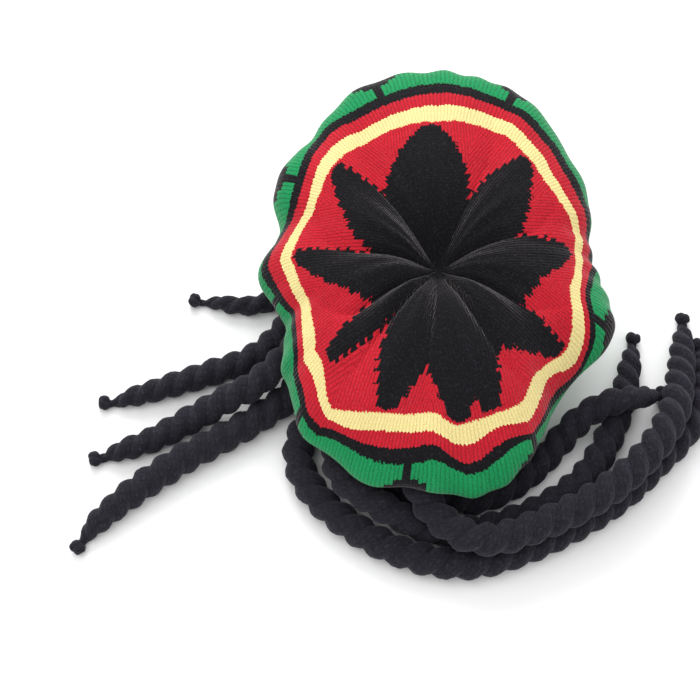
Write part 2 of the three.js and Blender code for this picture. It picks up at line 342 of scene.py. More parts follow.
@dataclass(frozen=True)
class ChartedKnit:
    """The crown's colour knitting.

    Its UV map chart holds wales from a gore's middle and millimetres from the top. The attribute star holds
    how many wales a place lies inside the star, the side of its petal, and the change in a millimetre.
    """

    name: str = "charted knit"
    row: float = 2.65
    petal_tip: float = 118.0
    petal_point: float = 0.3
    tooth: float = 1.5
    tooth_pitch: float = 8.4
    yellow_ring: tuple[float, float] = (120.0, 134.0)
    black_ring: tuple[float, float] = (149.0, 158.0)
    motif_wale: float = 11.0
    motif_steps: tuple[tuple[float, float], ...] = (
        (158.0, 1.5), (171.0, 3.5), (176.0, 5.0), (181.0, 6.5), (193.0, 5.0), (197.0, 3.5), (201.0, 1.5),
    )
    motif_end: float = 210.0
    stray_scale: float = 260.0
    fleck_scale: float = 620.0
    worn_scale: float = 45.0
    lint_scale: float = 520.0
    lint_share: float = 0.25
    wale_wander: float = 0.8
    row_wander: float = 4.0
    leg_rise: float = 1.3
    brightness: float = 0.08
    # The next two darken the wale grooves and the gaps between rows in the colour: painted shade.
    groove_painted_shade: float = 0.36
    gap_painted_shade: float = 0.12
    fleck_dark: float = 0.18
    worn_light: float = 0.3
    # How much less of the painted shade the yellow ring gets.
    yellow_calm: float = 0.55
    groove_base: float = 0.85
    groove_from: float = 0.45
    gap_from: float = 0.5
    gap_shift: float = 0.25
    gap_relief: float = 0.4
    fleck_relief: float = 0.5
    fleck_ends: tuple[float, float] = (0.35, 0.75)
    lint_ends: tuple[float, float] = (0.5, 0.75)
    coat: WoolCoat = WoolCoat()

    def petal(self, star: Wire, wales: Wire, down: Wire, stitched: Wire) -> Wire:
        """Mask of the star's petals with their stepped, toothed edges.

        Args:
            star: The margin inside the star, the side, and the margin's change.
            wales: Wales from the middle of the gore.
            down: Millimetres of fabric from the star's centre.
            stitched: The same, as the stitches lie.

        Returns:
            1 in a petal.
        """
        margin, side, change = star.graph.split(star)
        level = ((stitched / self.row).floor() + 0.5) * self.row
        tooth = ((level / self.tooth_pitch).fraction() - 0.5) * self.tooth
        stepped = margin + (wales.floor() + 0.5 - wales) * side + (level - down) * change
        return (stepped + tooth > -self.petal_point) * (stitched < self.petal_tip)

    def motif(self, wales: Wire, down: Wire) -> Wire:
        """Mask of the stepped motif that hangs from the black ring, once in each gore.

        Args:
            wales: Wales from the middle of the gore.
            down: Millimetres of fabric from the star's centre.

        Returns:
            1 in a motif.
        """
        aside = abs(wales - self.motif_wale).floor() + 0.5
        starts, widths = zip(*self.motif_steps)
        steps = zip(starts, widths, (0.0, *widths))
        half = sum((down > start) * (width - before) for start, width, before in steps)
        return (aside < half) * (down < self.motif_end)

    def make(self) -> bpy.types.Material:
        """Builds the material.

        Returns:
            The finished material.
        """
        made, graph, shader = new_material(self.name)
        wales, down, _ = graph.split(graph.add("ShaderNodeUVMap", {"uv_map": "chart"}, {}))
        star, place = graph.attribute("star"), graph.place()
        stray = graph.noise(place, self.stray_scale) - 0.5
        leg = (wales + stray * self.wale_wander).edge()
        stitched = down + leg * self.leg_rise + stray * self.row_wander
        yellow = (stitched > self.yellow_ring[0]) * (stitched < self.yellow_ring[1])
        black = (stitched > self.black_ring[0]) * (stitched < self.black_ring[1])
        green = stitched > self.black_ring[1]
        colour = graph.mix(self.petal(star, wales, down, stitched), Yarn.RED.value, Yarn.BLACK.value)
        colour = graph.mix(yellow, colour, Yarn.YELLOW.value)
        colour = graph.mix(green, colour, Yarn.GREEN.value)
        dark = black.math("MAXIMUM", self.motif(wales, stitched))
        colour = graph.mix(dark, colour, Yarn.BLACK.value)
        groove = leg.ramp(self.groove_from, 1.0)
        gap = (stitched / self.row + self.gap_shift).edge().ramp(self.gap_from, 1.0)
        fleck = graph.noise(place, self.fleck_scale, 4.0).ramp(*self.fleck_ends)
        worn = graph.noise(place, self.worn_scale, 3.0) - 0.5
        # Painted shade: the wale grooves and the gaps between rows are darkened in the colour, less on the
        # yellow; the flecks and the slow unevenness are the yarn's own random tone.
        painted_shade_and_tone = self.brightness - groove * (stray + self.groove_base) * self.groove_painted_shade
        painted_shade_and_tone = painted_shade_and_tone - gap * self.gap_painted_shade - fleck * self.fleck_dark + worn * self.worn_light
        painted_shade_and_tone = painted_shade_and_tone * (1.0 - yellow * self.yellow_calm) + 1.0
        colour = graph.blend("MULTIPLY", colour, graph.joined(painted_shade_and_tone, painted_shade_and_tone, painted_shade_and_tone))
        lint = graph.noise(place, self.lint_scale, 4.0).ramp(*self.lint_ends) * self.lint_share
        colour = graph.blend("ADD", colour, graph.mix(lint, (0.0, 0.0, 0.0, 1.0), Yarn.LINT.value))
        height = (1.0 - groove) + (1.0 - gap) * self.gap_relief + fleck * self.fleck_relief
        self.coat.finish(graph, shader, colour, fleck, height)
        return made


@dataclass(frozen=True)
class TwistedWool:
    """Black felted wool of the locks. The attribute lay holds the way along and the turn round the lock."""

    name: str = "twisted wool"
    row: float = 3.1 * MM
    ribs: float = 9.0
    wander_scale: float = 160.0
    fleck_scale: float = 900.0
    tuft_scale: float = 330.0
    row_wander: float = 1.1
    rib_wander: float = 0.25
    rib_rise: float = 0.7
    groove_from: float = 0.5
    rib_from: float = 0.65
    fleck_ends: tuple[float, float] = (0.4, 0.72)
    tuft_ends: tuple[float, float] = (0.5, 0.72)
    fleck_lint: float = 0.45
    tuft_lint: float = 0.3
    # How far the grooves and hollows are darkened towards SHADE: painted shade.
    hollow_painted_shade: float = 0.5
    groove_relief: float = 0.6
    rib_relief: float = 0.4
    fleck_relief: float = 0.5
    tuft_relief: float = 0.4
    coat: WoolCoat = WoolCoat(weight=0.1, roughness=0.4, tint=(0.86, 0.82, 1.0, 1.0))

    def make(self) -> bpy.types.Material:
        """Builds the material.

        Returns:
            The finished material.
        """
        made, graph, shader = new_material(self.name)
        along, cosine, sine = graph.split(graph.attribute("lay"))
        turn = sine.math("ARCTAN2", cosine) / (2.0 * math.pi)
        place = graph.place()
        wander = graph.noise(place, self.wander_scale) * self.row_wander
        rows = along / self.row + wander + (turn * self.ribs).edge() * self.rib_rise
        groove = rows.edge().ramp(self.groove_from, 1.0)
        rib = (turn * self.ribs + wander * self.rib_wander).edge().ramp(self.rib_from, 1.0)
        fleck = graph.noise(place, self.fleck_scale, 3.0).ramp(*self.fleck_ends)
        tuft = graph.noise(place, self.tuft_scale, 4.0).ramp(*self.tuft_ends)
        lint = fleck * self.fleck_lint + tuft * self.tuft_lint
        colour = graph.mix(lint, Yarn.CHARCOAL.value, Yarn.LINT.value)
        # Painted shade: the grooves between rows and the hollows between the plies are darkened towards
        # SHADE.
        colour = graph.mix(groove.math("MAXIMUM", rib) * self.hollow_painted_shade, colour, Yarn.SHADE.value)
        height = (1.0 - groove) * self.groove_relief + (1.0 - rib) * self.rib_relief
        height = height + fleck * self.fleck_relief + tuft * self.tuft_relief
        self.coat.finish(graph, shader, colour, fleck, height)
        return made


@dataclass(frozen=True)
class RibbedWool:
    """Black rib knit of the headband. The attribute lay holds the place across a rib and the height."""

    name: str = "ribbed wool"
    row: float = 2.4 * MM
    fleck_scale: float = 800.0
    row_rise: float = 0.8
    gap_from: float = 0.55
    middle_width: float = 0.25
    fleck_ends: tuple[float, float] = (0.4, 0.72)
    fleck_lint: float = 0.4
    # Painted shade: how far the valley between ribs and the gaps between rows are darkened towards SHADE.
    middle_painted_shade: float = 0.8
    hollow_painted_shade: float = 0.6
    gap_relief: float = 0.6
    middle_relief: float = 0.5
    fleck_relief: float = 0.4
    coat: WoolCoat = WoolCoat(weight=0.15, tint=(0.88, 0.86, 1.0, 1.0), relief_depth=0.6 * MM)

    def make(self) -> bpy.types.Material:
        """Builds the material.

        Returns:
            The finished material.
        """
        made, graph, shader = new_material(self.name)
        across, _, up = graph.split(graph.attribute("lay"))
        gap = (up / self.row + abs(across) * self.row_rise).edge().ramp(self.gap_from, 1.0)
        middle = 1.0 - abs(across).ramp(0.0, self.middle_width)
        fleck = graph.noise(graph.place(), self.fleck_scale, 3.0).ramp(*self.fleck_ends)
        colour = graph.mix(fleck * self.fleck_lint, Yarn.CHARCOAL.value, Yarn.LINT.value)
        # Painted shade: the gaps between rows and the valley between ribs are darkened towards SHADE.
        painted_rib_shade = gap.math("MAXIMUM", middle * self.middle_painted_shade) * self.hollow_painted_shade
        colour = graph.mix(painted_rib_shade, colour, Yarn.SHADE.value)
        height = (1.0 - gap) * self.gap_relief - middle * self.middle_relief + fleck * self.fleck_relief
        self.coat.finish(graph, shader, colour, fleck, height)
        return made


@dataclass(frozen=True)
class StudioFloor:
    """The smooth white floor."""

    name: str = "white floor"
    colour: Colour = (0.97, 0.97, 0.97, 1.0)
    roughness: float = 0.8
    gloss: float = 0.1

    def make(self) -> bpy.types.Material:
        """Builds the material.

        Returns:
            The finished material.
        """
        made, _, shader = new_material(self.name)
        shader.inputs["Base Color"].default_value = self.colour
        shader.inputs["Roughness"].default_value = self.roughness
        shader.inputs["Specular IOR Level"].default_value = self.gloss
        return made


def linked(name: str, data: bpy.types.ID) -> bpy.types.Object:
    """Makes an object of its data and links it to the scene."""
    made = bpy.data.objects.new(name, data)
    bpy.context.scene.collection.objects.link(made)
    return made


def keep_vectors(mesh: bpy.types.Mesh, name: str, domain: str, values: np.ndarray) -> None:
    """Keeps a vector for each point or corner of a mesh.

    Args:
        mesh: The mesh.
        name: The attribute's name.
        domain: POINT or CORNER.
        values: The vectors.
    """
    attribute = mesh.attributes.new(name, "FLOAT_VECTOR", domain)
    attribute.data.foreach_set("vector", values.astype(np.float32).ravel())


def add_line(
    curve: bpy.types.Curve, points: np.ndarray, closed: bool, widths: np.ndarray, tilts: np.ndarray
) -> None:
    """Adds a line to a curve.

    Args:
        curve: The curve.
        points: The line's points in metres.
        closed: Whether it ends where it begins.
        widths: A radius for each point.
        tilts: A turn about the line for each point.
    """
    spline = curve.splines.new("POLY")
    spline.points.add(len(points) - 1)
    spline.use_cyclic_u = closed
    for spot, place, width, tilt in zip(spline.points, points, widths, tilts):
        spot.co = (*place, 1.0)
        spot.radius = width
        spot.tilt = tilt


def dressed(piece: bpy.types.Object, slot: str, *nodes: str) -> bpy.types.Object:
    """Ties a finished piece to the frame.

    Args:
        piece: A mesh whose object sits at the origin.
        slot: The record's material slot; not used.
        nodes: The nodes that it stands for.

    Returns:
        The piece.
    """
    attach(piece, BODY)
    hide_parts(*nodes)
    LOG.info("%s: %d faces", piece.name, len(piece.data.polygons))
    return piece


def baked(piece: bpy.types.Object, name: str) -> bpy.types.Object:
    """Turns what a piece's modifiers make into a plain mesh piece, and removes the first piece.

    Args:
        piece: A curve or mesh with a Geometry Nodes modifier.
        name: The new piece's name.

    Returns:
        The plain mesh piece.
    """
    bpy.context.view_layer.update()
    graph = bpy.context.evaluated_depsgraph_get()
    mesh = bpy.data.meshes.new_from_object(piece.evaluated_get(graph), depsgraph=graph)
    bpy.data.objects.remove(piece)
    mesh.name = name
    return linked(name, mesh)


@dataclass
class Studio:
    """The camera, the lights and the floor."""

    target: Vector = field(default_factory=lambda: Vector((-70.0, -54.0, 60.0)) * MM)
    distance: float = 1.25
    elevation: float = 62.0
    frame_width: float = 0.56
    sensor: float = 36.0
    sky_strength: float = 0.9
    floor_reach: float = 6.0
    lamps: ClassVar[tuple[tuple[str, tuple[float, float, float], float, float], ...]] = (
        ("window", (-0.25, 1.5, 1.3), 1.3, 26.0),
        ("overhead", (-0.5, -0.2, 2.0), 1.6, 12.0),
    )

    def camera(self) -> bpy.types.Object:
        """Makes the scene's camera, with the plain view that keeps yarn colours as they are.

        Returns:
            The camera.
        """
        tilt = math.radians(self.elevation)
        back = Vector((0.0, -math.cos(tilt), math.sin(tilt)))
        up = Vector((0.0, math.sin(tilt), math.cos(tilt)))
        data = bpy.data.cameras.new("camera")
        data.sensor_width = self.sensor
        data.lens = self.sensor * self.distance / self.frame_width
        data.clip_start = 0.01
        made = linked("camera", data)
        turned = Matrix((up.cross(back), up, back)).transposed().to_4x4()
        made.matrix_world = Matrix.Translation(self.target + back * self.distance) @ turned
        bpy.context.scene.camera = made
        bpy.context.scene.view_settings.view_transform = "Standard"
        return made

    def light(self, name: str, place: Sequence[float], size: float, power: float) -> None:
        """Adds a soft square light that faces the hat.

        Args:
            name: The light's name.
            place: Its place in metres.
            size: The length of its side.
            power: Its power in watts.
        """
        data = bpy.data.lights.new(name, "AREA")
        data.size = size
        data.energy = power
        made = linked(name, data)
        made.location = place
        made.rotation_euler = Vector(place).to_track_quat("Z", "Y").to_euler()

    def lights(self) -> None:
        """Sets the sky and the soft lights."""
        world = bpy.data.worlds.new("sky")
        world.use_nodes = True
        sky = world.node_tree.nodes["Background"]
        sky.inputs["Color"].default_value = (1.0, 1.0, 1.0, 1.0)
        sky.inputs["Strength"].default_value = self.sky_strength
        bpy.context.scene.world = world
        for name, place, size, power in self.lamps:
            self.light(name, place, size, power)

    def floor(self) -> bpy.types.Object:
        """Makes the floor.

        Returns:
            The floor.
        """
        mesh = bpy.data.meshes.new("floor")
        signs = ((-1, -1), (1, -1), (1, 1), (-1, 1))
        corners = [(x * self.floor_reach, y * self.floor_reach, 0.0) for x, y in signs]
        mesh.from_pydata(corners, [], [(0, 1, 2, 3)])
        mesh.materials.append(StudioFloor().make())
        made = linked("floor", mesh)
        return made


@dataclass
class Headband:
    """The ribbed oval band, which the crown and the locks are sewn to. Millimetres."""

    width: float = 168.0
    length: float = 184.0
    height: float = 44.0
    wall: float = 4.0
    forward: float = 5.0
    ribs: int = 60
    relief: float = 1.4
    lip: float = 0.4
    chamfer: float = 0.5
    rib_line_points: int = 720
    wall_points: int = 240
    rib_roundness: float = 0.85
    rib_end_power: float = 12.0
    rib_end_share: float = 0.55

    def point(self, bearing: np.ndarray | float, z: np.ndarray | float, inset: float = 0.0) -> np.ndarray:
        """A point of the band's outline.

        Args:
            bearing: Radians from +X towards +Y.
            z: Height.
            inset: How far inside the outline.

        Returns:
            Points as an array of x, y, z.
        """
        x = (self.width / 2 - inset) * np.cos(bearing)
        y = self.forward + (self.length / 2 - inset) * np.sin(bearing)
        return np.stack(np.broadcast_arrays(x, y, z), axis=-1)

    def rib_tree(self) -> bpy.types.NodeTree:
        """The Geometry Nodes tree that sets ribs round an oval line.

        Returns:
            The tree.
        """
        graph, given = new_tree("ribs round the band", {
            "Rib Count": "Int", "Rib Height": "Float", "Rib Width": "Float", "Rib Depth": "Float"})
        size = graph.joined(given["Rib Width"], given["Rib Depth"], given["Rib Height"])
        counts = {"Vertices X": 5, "Vertices Y": 3, "Vertices Z": 9}
        cube = graph.add("GeometryNodeMeshCube", {}, {"Size": size, **counts}, "Mesh")
        place = graph.add("GeometryNodeInputPosition", {}, {})
        x, y, z = graph.split(place)
        across = x / given["Rib Width"] * 2.0
        up = z / given["Rib Height"] * 2.0
        round_off = (1.0 - across * across * self.rib_roundness).math("MAXIMUM", 0.0).math("SQRT")
        end = abs(up).math("POWER", self.rib_end_power) * self.rib_end_share
        ends = (1.0 - end).math("MAXIMUM", 0.0).math("SQRT")
        moved = graph.joined(x, y * round_off * ends, z)
        named = graph.store(cube, "lay", graph.joined(across, y, z))
        rib = graph.add("GeometryNodeSetPosition", {}, {"Geometry": named, "Position": moved})
        resampled = graph.add("GeometryNodeResampleCurve", {},
                              {"Curve": given["Geometry"], "Count": given["Rib Count"]})
        tangent = graph.add("GeometryNodeInputTangent", {}, {})
        turn = graph.add("FunctionNodeAlignRotationToVector", {"axis": "X"}, {"Vector": tangent})
        placed = graph.add("GeometryNodeInstanceOnPoints", {},
                           {"Points": resampled, "Instance": rib, "Rotation": turn})
        return end_tree(graph, placed, given["Material"])

    def oval(self, inset: float, z: float, count: int) -> bpy.types.Object:
        """A closed line round the band.

        Args:
            inset: How far inside the outline.
            z: Its height.
            count: How many points it has.

        Returns:
            A curve piece, in metres.
        """
        curve = bpy.data.curves.new("band line", "CURVE")
        curve.dimensions = "3D"
        angles = np.linspace(0, 2 * np.pi, count, endpoint=False)
        add_line(curve, self.point(angles, z, inset) * MM, True, np.ones(count), np.zeros(count))
        return linked("band line", curve)

    def build(self, finish: bpy.types.Material) -> bpy.types.Object:
        """Builds the band: ribs round a plain inner wall.

        Args:
            finish: The band's material.

        Returns:
            The piece.
        """
        line = self.oval(self.relief, self.height / 2, self.rib_line_points)
        modifier = line.modifiers.new("ribs", "NODES")
        modifier.node_group = self.rib_tree()
        girth = math.pi * (self.width + self.length) / 2
        inputs = {"Rib Count": self.ribs, "Rib Height": self.height * MM, "Rib Width": girth / self.ribs * MM,
                  "Rib Depth": 2 * self.relief * MM, "Material": finish}
        fill_inputs(modifier, inputs)
        ribs = baked(line, "headband_knit")
        angles = np.linspace(0, 2 * np.pi, self.wall_points, endpoint=False)
        low, high, inner = self.lip, self.height - self.lip, self.wall - self.lip
        rings = [self.point(angles, z, inset) for z, inset in (
            (low, self.relief), (high, self.relief), (high, inner), (high - self.chamfer, self.wall),
            (low + self.chamfer, self.wall), (low, inner))]
        wall = mesh_of_rings("band wall", np.array(rings) * MM, looped=True)
        co = np.array(rings).reshape(-1, 3)
        bearing = np.tile(angles, len(rings))
        lay = np.stack([(bearing * self.ribs / np.pi) % 2 - 1, np.zeros(len(co)), co[:, 2] * MM], axis=1)
        keep_vectors(wall, "lay", "POINT", lay)
        wall.materials.append(finish)
        return joined_piece(ribs, wall)


def fill_inputs(modifier: bpy.types.Modifier, values: dict[str, Any]) -> None:
    """Sets a Geometry Nodes modifier's inputs by their sockets' identifiers.

    Args:
        modifier: The modifier.
        values: A value for each named input.
    """
    for item in modifier.node_group.interface.items_tree:
        if item.item_type == "SOCKET" and item.in_out == "INPUT" and item.name in values:
            modifier[item.identifier] = values[item.name]


def mesh_of_rings(name: str, rings: np.ndarray, looped: bool) -> bpy.types.Mesh:
    """A mesh from rings of points, each joined to the next.

    Args:
        name: The mesh's name.
        rings: An array of rings, each a loop of points, in metres.
        looped: Whether the last ring is joined to the first, or both are closed by a fan.

    Returns:
        The mesh, with its faces outward where the rings run up an outside.
    """
    count, around, _ = rings.shape
    points = rings.reshape(-1, 3)
    pairs = count if looped else count - 1
    here = (np.arange(pairs)[:, None] * around + np.arange(around)[None, :]).ravel()
    step = (np.arange(around) + 1) % around
    beside = (np.arange(pairs)[:, None] * around + step[None, :]).ravel()
    above = (here + around) % (count * around)
    over = (beside + around) % (count * around)
    faces = np.stack([here, beside, over, above], axis=1).tolist()
    if not looped:
        points = np.vstack([points, rings[0].mean(0), rings[-1].mean(0)])
        low, high, last = len(points) - 2, len(points) - 1, (count - 1) * around
        faces += [[low, int(step[j]), j] for j in range(around)]
        faces += [[high, last + j, last + int(step[j])] for j in range(around)]
    mesh = bpy.data.meshes.new(name)
    mesh.from_pydata(points.tolist(), [], faces)
    mesh.polygons.foreach_set("use_smooth", np.ones(len(mesh.polygons), bool))
    return mesh


def joined_piece(piece: bpy.types.Object, *meshes: bpy.types.Mesh) -> bpy.types.Object:
    """Adds meshes to a mesh piece.

    Args:
        piece: The piece that stays.
        meshes: The meshes to add.

    Returns:
        The piece.
    """
    others = [linked(mesh.name, mesh) for mesh in meshes]
    with bpy.context.temp_override(active_object=piece, selected_editable_objects=[piece, *others]):
        bpy.ops.object.join()
    return piece


@dataclass
class LockLine:
    """The middle line of one lock, in millimetres.

    The route's points alone are in metres: x, y and the height of the lock's underside.
    """

    girth: float
    root: float
    route: list[tuple[float, float, float]]
    diameter: ClassVar[float] = 24.0
    taper: ClassVar[float] = 100.0
    stub: ClassVar[float] = 12.0
    seam_gap: ClassVar[float] = 0.3
    tip_shape: ClassVar[tuple[tuple[float, float], ...]] = (
        (0.0, 0.3), (0.08, 0.3), (0.14, 0.36), (0.2, 0.6), (0.32, 0.78), (0.6, 0.92), (1.0, 1.0),
    )
    fullness: ClassVar[float] = 1.07
    points_between: ClassVar[int] = 24
    root_narrowing: ClassVar[tuple[float, float]] = (0.74, 30.0)

    @property
    def radius(self) -> float:
        """Half of the lock's diameter."""
        return self.girth * self.diameter / 2

    def corners(self, band: Headband) -> np.ndarray:
        """The points that the underside's line runs through.

        Args:
            band: The band that the root is sewn to.

        Returns:
            Points as an array of x, y, z.
        """
        bearing = math.radians(self.root)
        out = np.array([math.cos(bearing) / band.width, math.sin(bearing) / band.length, 0.0])
        out /= np.linalg.norm(out)
        start = band.point(bearing, 0.0) + out * self.seam_gap
        return np.vstack([start, start + out * self.stub, np.array(self.route) / MM])

    def underside(self, band: Headband, spacing: float) -> np.ndarray:
        """Evenly spaced points of the centripetal spline through the corners.

        Args:
            band: The band that the root is sewn to.
            spacing: The distance between points.

        Returns:
            Points as an array of x, y, z.
        """
        given = self.corners(band)
        given = np.vstack([2 * given[0] - given[1], given, 2 * given[-1] - given[-2]])
        pieces = []
        for i in range(1, len(given) - 2):
            p0, p1, p2, p3 = given[i - 1 : i + 3]
            d0, d1, d2 = (max(np.linalg.norm(b - a), 1e-6) ** 0.5 for a, b in ((p0, p1), (p1, p2), (p2, p3)))
            m1 = ((p1 - p0) / d0 - (p2 - p0) / (d0 + d1) + (p2 - p1) / d1) * d1
            m2 = ((p2 - p1) / d1 - (p3 - p1) / (d1 + d2) + (p3 - p2) / d2) * d1
            t = np.linspace(0, 1, self.points_between, endpoint=False)[:, None]
            a, b = 2 * p1 - 2 * p2 + m1 + m2, -3 * p1 + 3 * p2 - 2 * m1 - m2
            pieces.append(((a * t + b) * t + m1) * t + p1)
        dense = np.vstack([*pieces, given[-2]])
        steps = np.linalg.norm(np.diff(dense, axis=0), axis=1)
        way = np.concatenate([[0], np.cumsum(steps)])
        places = np.linspace(0, way[-1], int(way[-1] / spacing) + 1)
        return np.stack([np.interp(places, way, dense[:, k]) for k in range(3)], axis=1)

    def widths(self, way: np.ndarray) -> np.ndarray:
        """Shares of the lock's diameter along its way.

        Args:
            way: Distances from the root.

        Returns:
            A share for each distance.
        """
        back = (way[-1] - way) / self.taper
        rows = np.array(self.tip_shape)
        share, length = self.root_narrowing
        root = np.interp(way, [0, length], [share, 1.0])
        return np.interp(back, rows[:, 0], rows[:, 1]) * root

    def centres(self, band: Headband, spacing: float) -> tuple[np.ndarray, np.ndarray]:
        """The middle line and the radius along it.

        Args:
            band: The band that the root is sewn to.
            spacing: The distance between points.

        Returns:
            Points, and a radius for each.
        """
        line = self.underside(band, spacing)
        way = np.arange(len(line)) * spacing
        radii = self.radius * self.fullness * self.widths(way)
        line[:, 2] = np.maximum(line[:, 2], 0.0) + radii
        return line, radii


@dataclass
class Locks:
    """The eight twisted locks, from the hat's left round the nape."""

    band: Headband
    spacing: float = 1.6
    pitch: float = 36.0
    lobe_spread: float = 0.24
    knot_radius: float = 3.6
    knot_strand: float = 3.8
    knot_points: int = 96
    loosest_twist: float = 0.4
    sides: int = 32
    fuzz_height: float = 2.2
    fuzz_scale: float = 180.0
    seed_step: float = 3.7
    lines: ClassVar[tuple[LockLine, ...]] = (
        LockLine(0.78, 158, [
            (-0.101, 0.044, 0.0), (-0.112, 0.039, 0.0), (-0.122, 0.031, 0.0), (-0.133, 0.023, 0.0),
            (-0.144, 0.018, 0.0), (-0.154, 0.016, 0.0), (-0.163, 0.016, 0.0), (-0.171, 0.017, 0.0),
            (-0.179, 0.019, 0.0), (-0.186, 0.02, 0.0), (-0.192, 0.021, 0.0), (-0.199, 0.022, 0.0),
            (-0.206, 0.023, 0.0)]),
        LockLine(0.92, 173, [
            (-0.106, 0.013, 0.0), (-0.116, 0.004, 0.0), (-0.125, -0.008, 0.0), (-0.134, -0.02, 0.0),
            (-0.145, -0.031, 0.0), (-0.157, -0.039, 0.0), (-0.172, -0.045, 0.0), (-0.186, -0.05, 0.0),
            (-0.2, -0.055, 0.0), (-0.215, -0.06, 0.0), (-0.23, -0.065, 0.0), (-0.244, -0.069, 0.0),
            (-0.259, -0.073, 0.0), (-0.276, -0.075, 0.0)]),
        LockLine(0.97, 188, [
            (-0.104, -0.017, 0.005), (-0.112, -0.029, 0.013), (-0.12, -0.041, 0.018), (-0.13, -0.053, 0.019),
            (-0.14, -0.064, 0.019), (-0.15, -0.072, 0.017), (-0.162, -0.077, 0.015), (-0.174, -0.082, 0.01),
            (-0.187, -0.088, 0.005), (-0.2, -0.094, 0.002), (-0.215, -0.102, 0.0), (-0.232, -0.111, 0.0),
            (-0.248, -0.117, 0.0), (-0.264, -0.122, 0.0), (-0.28, -0.126, 0.0)]),
        LockLine(1.03, 203, [
            (-0.099, -0.045, 0.0), (-0.108, -0.057, 0.0), (-0.118, -0.069, 0.0), (-0.129, -0.08, 0.0),
            (-0.143, -0.09, 0.0), (-0.157, -0.1, 0.0), (-0.172, -0.109, 0.0), (-0.189, -0.119, 0.0),
            (-0.207, -0.13, 0.0), (-0.222, -0.141, 0.0), (-0.238, -0.153, 0.0), (-0.251, -0.164, 0.0),
            (-0.265, -0.177, 0.0), (-0.277, -0.19, 0.0), (-0.286, -0.204, 0.0)]),
        LockLine(1.02, 218, [
            (-0.085, -0.069, 0.0), (-0.094, -0.083, 0.0), (-0.103, -0.096, 0.0), (-0.11, -0.109, 0.0),
            (-0.112, -0.123, 0.0), (-0.109, -0.139, 0.0), (-0.1, -0.156, 0.0), (-0.085, -0.173, 0.0),
            (-0.065, -0.189, 0.0), (-0.043, -0.202, 0.0), (-0.021, -0.211, 0.0), (0.0, -0.216, 0.0),
            (0.023, -0.217, 0.0), (0.047, -0.212, 0.0), (0.071, -0.203, 0.0), (0.095, -0.192, 0.0),
            (0.118, -0.179, 0.0), (0.139, -0.165, 0.0), (0.158, -0.149, 0.0), (0.176, -0.131, 0.0),
            (0.194, -0.113, 0.0), (0.209, -0.093, 0.0), (0.219, -0.071, 0.0), (0.224, -0.049, 0.0),
            (0.224, -0.031, 0.0), (0.223, -0.016, 0.0)]),
        LockLine(1, 233, [
            (-0.066, -0.09, 0.0), (-0.073, -0.104, 0.003), (-0.079, -0.118, 0.008), (-0.081, -0.132, 0.013),
            (-0.079, -0.145, 0.017), (-0.071, -0.158, 0.018), (-0.058, -0.168, 0.018),
            (-0.042, -0.177, 0.015),
            (-0.024, -0.184, 0.008), (-0.006, -0.189, 0.001), (0.012, -0.1905, 0.0), (0.034, -0.1885, 0.0),
            (0.058, -0.1815, 0.0), (0.08, -0.172, 0.0), (0.099, -0.1605, 0.0), (0.116, -0.146, 0.0),
            (0.13, -0.127, 0.0), (0.142, -0.104, 0.0), (0.153, -0.076, 0.0), (0.162, -0.045, 0.0),
            (0.169, -0.011, 0.0)]),
        LockLine(0.96, 248, [
            (-0.041, -0.105, 0.0), (-0.043, -0.118, 0.0), (-0.043, -0.131, 0.0), (-0.038, -0.144, 0.0),
            (-0.028, -0.154, 0.0), (-0.016, -0.16, 0.0), (0.0, -0.163, 0.0), (0.017, -0.164, 0.0),
            (0.034, -0.162, 0.0), (0.052, -0.155, 0.0), (0.07, -0.143, 0.0), (0.087, -0.127, 0.0),
            (0.102, -0.111, 0.005), (0.117, -0.098, 0.014), (0.134, -0.09, 0.022), (0.152, -0.085, 0.024),
            (0.168, -0.079, 0.017), (0.18, -0.072, 0.008), (0.19, -0.065, 0.002)]),
        LockLine(1.05, 263, [
            (-0.014, -0.112, 0.003), (-0.017, -0.126, 0.01), (-0.019, -0.14, 0.018), (-0.018, -0.155, 0.025),
            (-0.014, -0.17, 0.026), (-0.006, -0.184, 0.026), (0.006, -0.196, 0.026), (0.023, -0.205, 0.025),
            (0.043, -0.206, 0.024), (0.065, -0.199, 0.024), (0.087, -0.19, 0.024), (0.108, -0.18, 0.025),
            (0.128, -0.168, 0.026), (0.147, -0.153, 0.026), (0.165, -0.135, 0.026), (0.18, -0.115, 0.025),
            (0.191, -0.093, 0.02), (0.198, -0.07, 0.012), (0.204, -0.046, 0.005), (0.208, -0.023, 0.0),
            (0.211, -0.006, 0.0), (0.212, 0.008, 0.0)]),
    )

